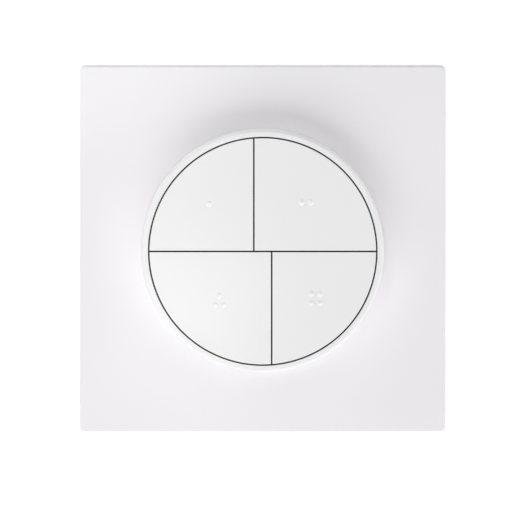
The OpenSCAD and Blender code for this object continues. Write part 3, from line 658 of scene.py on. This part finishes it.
# snap leg under a key, its hook pointing to one side in Y
def addLeg(bm, x, y, side, low, top):
    half, thick, hook = keys["legWidth"] / 2, keys["legThick"] / 2, keys["legThick"] / 2 + keys["legBite"]
    ledge = low + keys["legHead"]
    outline = [(-thick, top), (-thick, low), (thick, low), (hook, ledge - keys["legRamp"]), (hook, ledge),
               (thick, ledge), (thick, top)]
    lofted(bm, [[(x + end, y + side * v, z) for v, z in outline] for end in (-half, half)], closed=False)


def makeKey(node):
    plan = keyPlan[node]
    sideX, sideY = plan["side"]
    low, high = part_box(node)
    plungerLow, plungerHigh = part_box(node.replace("key", "plunger"))
    place = (plungerLow + plungerHigh) / 2
    top, edge = high.z - keys["dotHeight"], keys["edge"]
    under, begin = top - keys["thick"], plan["split"] * keys["split"]
    levels = [(keys["softEdge"], under), (0, under + keys["softEdge"])]
    levels += [(-x, z) for x, z in corner((-edge, top - edge), edge, 0, keys["edgeSteps"])]
    levels.append((keys["flatFrom"] * edge, top))
    bm = bmesh.new()
    lofted(bm, [keyRow(sideX, sideY, begin, inset, z) for inset, z in levels], closed=False)
    piece = fromBmesh(node.replace("_", ""), bm)

    (upperCount, upperShift), (lowerCount, lowerShift) = plan["upper"], plan["lower"]
    dots = grown(placed("dots", bpy.data.meshes.new("dots")), dotNodes, Upper_count=upperCount,
                 Lower_count=lowerCount, Upper_shift=upperShift, Lower_shift=lowerShift,
                 Pitch=keys["dotPitch"], Diameter=keys["dotDiameter"], Foot=keys["dotFoot"],
                 Height=keys["dotHeight"], Segments=keys["dotSegments"], Rings=keys["dotRings"],
                 Place=(place.x, place.y, top), Finish=finishes["key_white"])
    combine(piece, dots, "UNION")

    # peg over the switch, and snap legs
    tool = bmesh.new()
    rod(tool, keys["pegRadius"], plungerHigh.z, under + edge, (place.x, place.y), keys["pegSteps"])
    near, far = keys["legInset"], keys["radius"] - keys["legOutset"]
    for u, v, side in ((begin + near, near, 1), (far, near, 1), (begin + near, far, -1)):
        addLeg(tool, sideX * u, sideY * v, sideY * side, low.z, under + edge)
    combine(piece, fromBmesh("underside", tool), "UNION")
    return dress(piece, node)


for node in keyPlan:
    makeKey(node)
print("keys made:", len(keyPlan))

# cup behind the rim, with the seat of the battery door
shell = {"edge": 1.2 * mm, "softEdge": 0.12 * mm, "edgeSteps": 10, "floorThick": 1.3 * mm,
         "lipOuter": 27 * mm, "lipInner": 26.2 * mm, "lipHeight": 2.1 * mm,
         "doorHole": 11.4 * mm, "doorSeat": 13.2 * mm, "seatDepth": 0.7 * mm,
         "bossRadius": 3 * mm, "headRadius": 2 * mm, "headDepth": 1.5 * mm, "shankRadius": 1.1 * mm,
         "bossTop": 7.8 * mm, "screwReach": 22.5 * mm, "screwTurn": 65, "boreSteps": 48,
         "cupRadius": 5.1 * mm, "cupTop": 5.3 * mm, "cupCount": 4, "cupSteps": 64, "magnetAt": 19.7 * mm,
         "magnetRadius": 4.1 * mm, "magnetSkin": 0.6 * mm,
         "notchReach": 13 * mm, "notchAngle": 34, "notchTurn": -40, "notchCount": 3,
         "grooveWidth": 3.5 * mm, "grooveDepth": 0.85 * mm, "grooveHeight": 4.45 * mm}


# how far the four case screws stand from the middle, across and upright
def screwPlace():
    turn = math.radians(shell["screwTurn"])
    return shell["screwReach"] * math.cos(turn), shell["screwReach"] * math.sin(turn)


# ring sector about an angle in degrees
def sector(bm, inner, outer, angle, middle, low, high, steps=16):
    turns = [math.radians(middle + angle * (i / steps - 0.5)) for i in range(steps + 1)]
    outline = [(outer * math.cos(turn), outer * math.sin(turn)) for turn in turns]
    outline += [(inner * math.cos(turn), inner * math.sin(turn)) for turn in reversed(turns)]
    lofted(bm, [[(x, y, z) for x, y in outline] for z in (low, high)], closed=False)


def makeShell():
    low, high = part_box("back_shell")
    outer, back, soft, edge = high.x, low.z, shell["softEdge"], shell["edge"]
    split, lipTop = high.z - shell["lipHeight"], high.z
    floor, seat, hole = back + shell["floorThick"], shell["doorSeat"], shell["doorHole"]
    ledge, lipOuter, lipInner = back + shell["seatDepth"], shell["lipOuter"], shell["lipInner"]
    section = [(seat + soft, back)]
    section += corner((outer - edge, back + edge), edge, 270, shell["edgeSteps"])
    section += [(outer, split - soft), (outer - soft, split), (lipOuter, split), (lipOuter, lipTop - soft),
                (lipOuter - soft, lipTop), (lipInner + soft, lipTop), (lipInner, lipTop - soft),
                (lipInner, floor), (hole, floor), (hole, ledge), (seat, ledge), (seat, back + soft)]
    piece = turnedPiece("backShell", section, finishes["housing_white"])
    across, up = screwPlace()
    screwPair = ((-across, up), (across, up))  # the other two are this pair turned round by half
    magnetPlace = (shell["magnetAt"], 0)

    # screw bosses and magnet cups on the floor
    tool = bmesh.new()
    for place in screwPair:
        rod(tool, shell["bossRadius"], floor - soft, shell["bossTop"], place, shell["boreSteps"])
    combine(piece, ringTool("bosses", tool, 2), "UNION")
    tool = bmesh.new()
    rod(tool, shell["cupRadius"], floor - soft, shell["cupTop"], magnetPlace, shell["cupSteps"])
    combine(piece, ringTool("cups", tool, shell["cupCount"]), "UNION")

    # stepped screw holes, magnet seats and the notches that let the door's lugs in
    head, shank, headSeat = shell["headRadius"], shell["shankRadius"], back + shell["headDepth"]
    bossEnd = shell["bossTop"] + soft
    drill = [(0, back - soft), (head + soft, back - soft), (head, back + soft), (head, headSeat),
             (shank, headSeat), (shank, bossEnd), (0, bossEnd)]
    tool = bmesh.new()
    for place in screwPair:
        turned(tool, drill, shell["boreSteps"], place)
    combine(piece, ringTool("screwHoles", tool, 2), "DIFFERENCE")
    tool = bmesh.new()
    rod(tool, shell["magnetRadius"], back + shell["magnetSkin"], shell["cupTop"] + soft, magnetPlace,
        shell["cupSteps"])
    combine(piece, ringTool("magnetSeats", tool, shell["cupCount"]), "DIFFERENCE")
    tool = bmesh.new()
    sector(tool, hole - 2 * soft, shell["notchReach"], shell["notchAngle"], shell["notchTurn"],
           back - soft, floor + soft)
    combine(piece, ringTool("notches", tool, shell["notchCount"]), "DIFFERENCE")

    # groove for the plate's guide rib
    tool = bmesh.new()
    block(tool, (-shell["grooveWidth"] / 2, -outer - soft, back - soft),
          (shell["grooveWidth"] / 2, -outer + shell["grooveDepth"], back + shell["grooveHeight"]))
    combine(piece, fromBmesh("groove", tool), "DIFFERENCE")
    return dress(piece, "back_shell")


makeShell()
print("back shell made")

# bayonet door of the battery, with its lugs and coin slot
door = {"flange": 13 * mm, "flangeThick": 0.6 * mm, "rimOuter": 11.2 * mm, "rimInner": 10.2 * mm,
        "floor": 4.2 * mm, "lugReach": 12.8 * mm, "lugAngle": 28, "lugLow": 4.3 * mm, "lugCount": 3,
        "softEdge": 0.1 * mm, "steps": 192, "coin": 14 * mm, "coinWidth": 1.8 * mm, "coinDepth": 0.8 * mm,
        "coinSteps": 240}


def makeDoor():
    low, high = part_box("battery_door")
    back, top, soft = low.z, high.z, door["softEdge"]
    ledge, floor = back + door["flangeThick"], door["floor"]
    flange, outer, inner = door["flange"], door["rimOuter"], door["rimInner"]
    section = [(0, back), (flange - soft, back), (flange, back + soft), (flange, ledge - soft / 2),
               (flange - soft / 2, ledge), (outer, ledge), (outer, top - soft), (outer - soft, top),
               (inner + soft, top), (inner, top - soft), (inner, floor), (0, floor)]
    piece = turnedPiece("batteryDoor", section, finishes["housing_white"], door["steps"])
    tool = bmesh.new()
    sector(tool, outer - 2 * soft, door["lugReach"], door["lugAngle"], 0, door["lugLow"], top - soft / 2)
    combine(piece, ringTool("lugs", tool, door["lugCount"]), "UNION")

    # slot cut by a coin that stands on edge
    tool = bmesh.new()
    rod(tool, door["coin"], -door["coinWidth"] / 2, door["coinWidth"] / 2, steps=door["coinSteps"])
    sunk = Matrix.Translation((0, 0, back + door["coinDepth"] - door["coin"]))
    bmesh.ops.transform(tool, matrix=sunk @ Matrix.Rotation(math.pi / 2, 4, "X"), verts=tool.verts)
    combine(piece, fromBmesh("coin", tool), "DIFFERENCE")
    return dress(piece, "battery_door")


makeDoor()
print("battery door made")

# case screws: pan heads with a cross recess, set out at the corners of a rectangle
screws = {"headRadius": 1.8 * mm, "headHeight": 1.2 * mm, "headEdge": 0.45 * mm, "shankRadius": 1 * mm,
          "threadDepth": 0.12 * mm, "threadPitch": 0.5 * mm, "threadHalf": 0.15 * mm, "tipLength": 0.2 * mm,
          "tipTaper": 0.4 * mm, "crossLength": 1.9 * mm, "crossWidth": 0.42 * mm, "crossDepth": 0.65 * mm,
          "steps": 40, "edgeSteps": 6, "looseTurn": 1.5, "seed": 7}


def makeScrews():
    low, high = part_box("case_screws")
    back, tip, head = low.z, high.z, low.z + screws["headHeight"]
    edge, shank, flank = screws["headEdge"], screws["shankRadius"], screws["threadHalf"]
    root = shank - screws["threadDepth"]
    section = [(0, back)]
    section += corner((screws["headRadius"] - edge, back + edge), edge, 270, screws["edgeSteps"])
    section += [(screws["headRadius"], head), (root, head)]
    for i in range(int((tip - head) / screws["threadPitch"])):
        at = head + (i + 0.5) * screws["threadPitch"]
        section += [(root, at - flank), (shank, at), (root, at + flank)]
    section += [(root, tip - screws["tipLength"]), (shank - screws["tipTaper"], tip), (0, tip)]
    bm = bmesh.new()
    turned(bm, section, screws["steps"])
    piece = fromBmesh("caseScrews", bm)
    half, reach = screws["crossWidth"] / 2, screws["crossLength"] / 2
    for turn in (0, math.pi / 2):  # one blade after the other, because they cross
        tool = bmesh.new()
        block(tool, (-reach, -half, back - half), (reach, half, back + screws["crossDepth"]), turn)
        combine(piece, fromBmesh("blade", tool), "DIFFERENCE")
    across, up = screwPlace()
    grown(piece, cornerNodes, Across=2 * across, Upright=2 * up, Loose_turn=screws["looseTurn"],
          Seed=screws["seed"], Finish=finishes["zinc_steel"])
    return dress(piece, "case_screws")


makeScrews()
print("screws made")

# steel ring that the magnets hold on to, with the rolled edge of a punched part
keeper = {"bore": 14 * mm, "edge": 0.15 * mm, "edgeSteps": 5}


def makeKeeper():
    low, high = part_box("keeper_ring")
    outer, bore, edge = high.x, keeper["bore"], keeper["edge"]
    section = [(bore + edge / 2, low.z), (outer - edge / 2, low.z), (outer, low.z + edge / 2)]
    section += corner((outer - edge, high.z - edge), edge, 0, keeper["edgeSteps"])
    section += corner((bore + edge, high.z - edge), edge, 90, keeper["edgeSteps"])
    section.append((bore, low.z + edge / 2))
    return dress(turnedPiece("keeperRing", section, finishes["zinc_steel"]), "keeper_ring")


# foam pads behind the bracket, one shape set out at four corners
pads = {"size": 18 * mm, "corner": 1.5 * mm, "softEdge": 0.1 * mm, "sidePoints": 1, "cornerPoints": 8}


def makePads():
    low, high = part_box("adhesive_pads")
    half, soft = pads["size"] / 2, pads["softEdge"]
    levels = ((soft, low.z), (0, low.z + soft), (0, high.z - soft), (soft, high.z))
    rows = [squareRow(half - inset, pads["corner"] - inset, z, pads["sidePoints"], pads["cornerPoints"])
            for inset, z in levels]
    bm = bmesh.new()
    lofted(bm, rows, closed=False)
    apart = high.x - low.x - pads["size"]
    piece = grown(fromBmesh("tapePads", bm), cornerNodes, Across=apart, Upright=apart, Loose_turn=0.0,
                  Finish=finishes["foam_tape"])
    return dress(piece, "adhesive_pads")


makeKeeper()
makePads()
print("keeper ring and tape pads made")

# the other pieces: up to which angle faces make one flat, from which an edge is sharp, and how soft it gets
innards = {"flatUpTo": math.radians(0.2), "sharpFrom": math.radians(30), "edgeSteps": 2, "roundness": 0.5,
           "names": {"magnets": "magnetDiscs"},
           "softEdge": {"radio_board": 0.06 * mm, "radio_shield": 0.12 * mm, "status_led": 0.1 * mm,
                        "chip_parts": 0.05 * mm, "contact_positive": 0.04 * mm, "magnets": 0.2 * mm,
                        "cell_holder": 0.15 * mm, "switch_bases": 0.08 * mm, "plunger": 0.1 * mm}}


# merged copy of a node, with its flat faces in one piece and its round ones smooth
def copyNode(node):
    bm = bmesh.new()
    bm.from_mesh(frame["nodes"][node].data)
    bmesh.ops.remove_doubles(bm, verts=bm.verts, dist=weld)
    bmesh.ops.dissolve_limit(bm, angle_limit=innards["flatUpTo"], verts=bm.verts, edges=bm.edges)
    for start, size in innards["softEdge"].items():
        if node.startswith(start):
            sharp = [edge for edge in bm.edges if edge.calc_face_angle(0) > innards["sharpFrom"]]
            bmesh.ops.bevel(bm, geom=sharp, offset=size, segments=innards["edgeSteps"],
                            profile=innards["roundness"], affect="EDGES", clamp_overlap=True)
    words = node.split("_")
    name = innards["names"].get(node, words[0] + "".join(word.capitalize() for word in words[1:]))
    mesh = bpy.data.meshes.new(name)
    bm.to_mesh(mesh)
    bm.free()
    return dress(placed(name, mesh), node)


madeNodes = {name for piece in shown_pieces() for name in piece.get("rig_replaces", [])}
for node in sorted(set(frame["nodes"]) - madeNodes):
    copy = copyNode(node)
    if node.startswith("snap_dome"):  # each snap dome gets a mesh of its own; in the switch the plunger flattens it
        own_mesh(copy)
print("inner pieces made:", len(frame["nodes"]) - len(madeNodes))

# camera a little above the plate's middle line, far off with a long lens
shot = {"imagePx": 512, "platePx": 365.7, "originPx": (262.75, 247.2), "tilt": 3.65,
        "lens": 1000.0, "sensor": 36.0, "seesTo": 20.0}


def makeCamera():
    low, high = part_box("front_frame")
    perPx = (high.x - low.x) / shot["platePx"]
    away = shot["lens"] / shot["sensor"] * shot["imagePx"] * perPx + high.z
    tilt = math.radians(shot["tilt"])
    aside = (shot["imagePx"] / 2 - shot["originPx"][0]) * perPx
    down = (shot["originPx"][1] - shot["imagePx"] / 2) * perPx
    data = bpy.data.cameras.new("camera")
    data.lens, data.sensor_width, data.clip_end = shot["lens"], shot["sensor"], shot["seesTo"]
    camera = bpy.data.objects.new("camera", data)
    scene.collection.objects.link(camera)
    back = Vector((0, math.sin(tilt), math.cos(tilt)))
    camera.location = Vector((aside, down / math.cos(tilt), 0)) + away * back
    camera.rotation_euler = (-tilt, 0, 0)
    scene.camera = camera


makeCamera()

# soft lamps round the plate, and narrow beams on its upper left part and corner and on the lower left key:
# where each stands, what it points at, how large it is, how strong, and how wide a beam opens in degrees
lamps = {
    "below": {"place": (-0.12, -0.55, 0.45), "aim": (0, 0, 0), "size": (0.95, 0.65), "watts": 4.4},
    "above": {"place": (0.14, 0.52, 0.44), "aim": (0, 0, 0), "size": (0.7, 0.45), "watts": 1.05},
    "lowRight": {"place": (0.58, -0.1, 0.12), "aim": (0, 0, 0), "size": (0.4, 0.12), "watts": 1.2},
    "lowLeft": {"place": (-0.51, 0.3, 0.1), "aim": (0, 0, 0), "size": (0.4, 0.12), "watts": 1.0},
    "upperBeam": {"place": (-0.18, 0.3, 0.61), "aim": (-0.045, 0.03, 0), "size": (0.15, 0.15),
                  "watts": 0.006, "opening": 18},
    "cornerBeam": {"place": (-0.2, 0.2, 0.6), "aim": (-0.042, 0.042, 0.008), "size": (0.05, 0.05),
                   "watts": 0.0011, "opening": 8},
    "keyBeam": {"place": (-0.06, -0.06, 0.7), "aim": (-0.02, -0.014, 0.0155), "size": (0.03, 0.03),
                "watts": 0.00032, "opening": 4},
}
surround = {"light": 0.3, "seen": 1.0}


def makeLamps():
    for name, lamp in lamps.items():
        data = bpy.data.lights.new(name, "AREA")
        data.shape, data.size, data.size_y = "RECTANGLE", *lamp["size"]
        data.energy = lamp["watts"]
        data.spread = math.radians(lamp.get("opening", 180))
        lampObject = bpy.data.objects.new(name, data)
        scene.collection.objects.link(lampObject)
        lampObject.location = lamp["place"]
        way = Vector(lamp["aim"]) - Vector(lamp["place"])
        lampObject.rotation_euler = way.to_track_quat("-Z", "Y").to_euler()


# share of rays that see the background itself: straight, mirrored or through glass
def seenRays(tree):
    rays = addNode(tree, "ShaderNodeLightPath").outputs
    mirrored = maths(tree, "MAXIMUM", rays["Is Camera Ray"], rays["Is Glossy Ray"])
    return maths(tree, "MAXIMUM", mirrored, rays["Is Transmission Ray"])


def makeSurround():
    world = bpy.data.worlds.new("surround")
    scene.world = world
    world.use_nodes = True
    tree = world.node_tree
    ground = tree.nodes["Background"]
    ground.inputs["Color"].default_value = rgb(1, 1, 1)
    strength = addNode(tree, "ShaderNodeMapRange", {
        "Value": seenRays(tree), "To Min": surround["light"], "To Max": surround["seen"]})
    tree.links.new(strength.outputs["Result"], ground.inputs["Strength"])


# paper just below the plate
floor = {"size": 6.0, "drop": 0.02 * mm, "paper": rgb(0.5, 0.5, 0.5), "lift": 0.84,
         "shadowShare": rgb(0.3, 0.3, 0.3), "covered": 41 * mm}


# paper seen straight is lifted to white, with the shadow still in it, but not where the plate covers it
def paper(name, lifted):
    material = bpy.data.materials.new(name)
    material.use_nodes = True
    tree = material.node_tree
    tree.nodes.clear()
    sheet = addNode(tree, "ShaderNodeBsdfDiffuse", {"Color": floor["paper"]}).outputs[0]
    if lifted:
        faint = addNode(tree, "ShaderNodeBsdfDiffuse", {"Color": floor["shadowShare"]})
        lift = addNode(tree, "ShaderNodeEmission", {"Color": rgb(1, 1, 1), "Strength": floor["lift"]})
        bright = addNode(tree, "ShaderNodeAddShader", {0: faint.outputs[0], 1: lift.outputs[0]})
        mix = addNode(tree, "ShaderNodeMixShader", {0: seenRays(tree), 1: sheet, 2: bright.outputs[0]})
        sheet = mix.outputs[0]
    tree.links.new(sheet, addNode(tree, "ShaderNodeOutputMaterial").inputs["Surface"])
    return material


def makeFloor():
    z = cadBox[0].z - floor["drop"]
    corners = ((-1, -1), (1, -1), (1, 1), (-1, 1))
    points = [(x * half, y * half, z) for half in (floor["size"] / 2, floor["covered"]) for x, y in corners]
    sides = [(i, (i + 1) % 4, (i + 1) % 4 + 4, i + 4) for i in range(4)]
    mesh = bpy.data.meshes.new("floor")
    mesh.from_pydata(points, [], sides + [(4, 5, 6, 7)])
    mesh.materials.append(paper("paper", True))
    mesh.materials.append(paper("coveredPaper", False))
    mesh.polygons[len(sides)].material_index = 1
    placed("floor", mesh)


makeLamps()
makeSurround()
makeFloor()
print("camera, lamps and floor made")
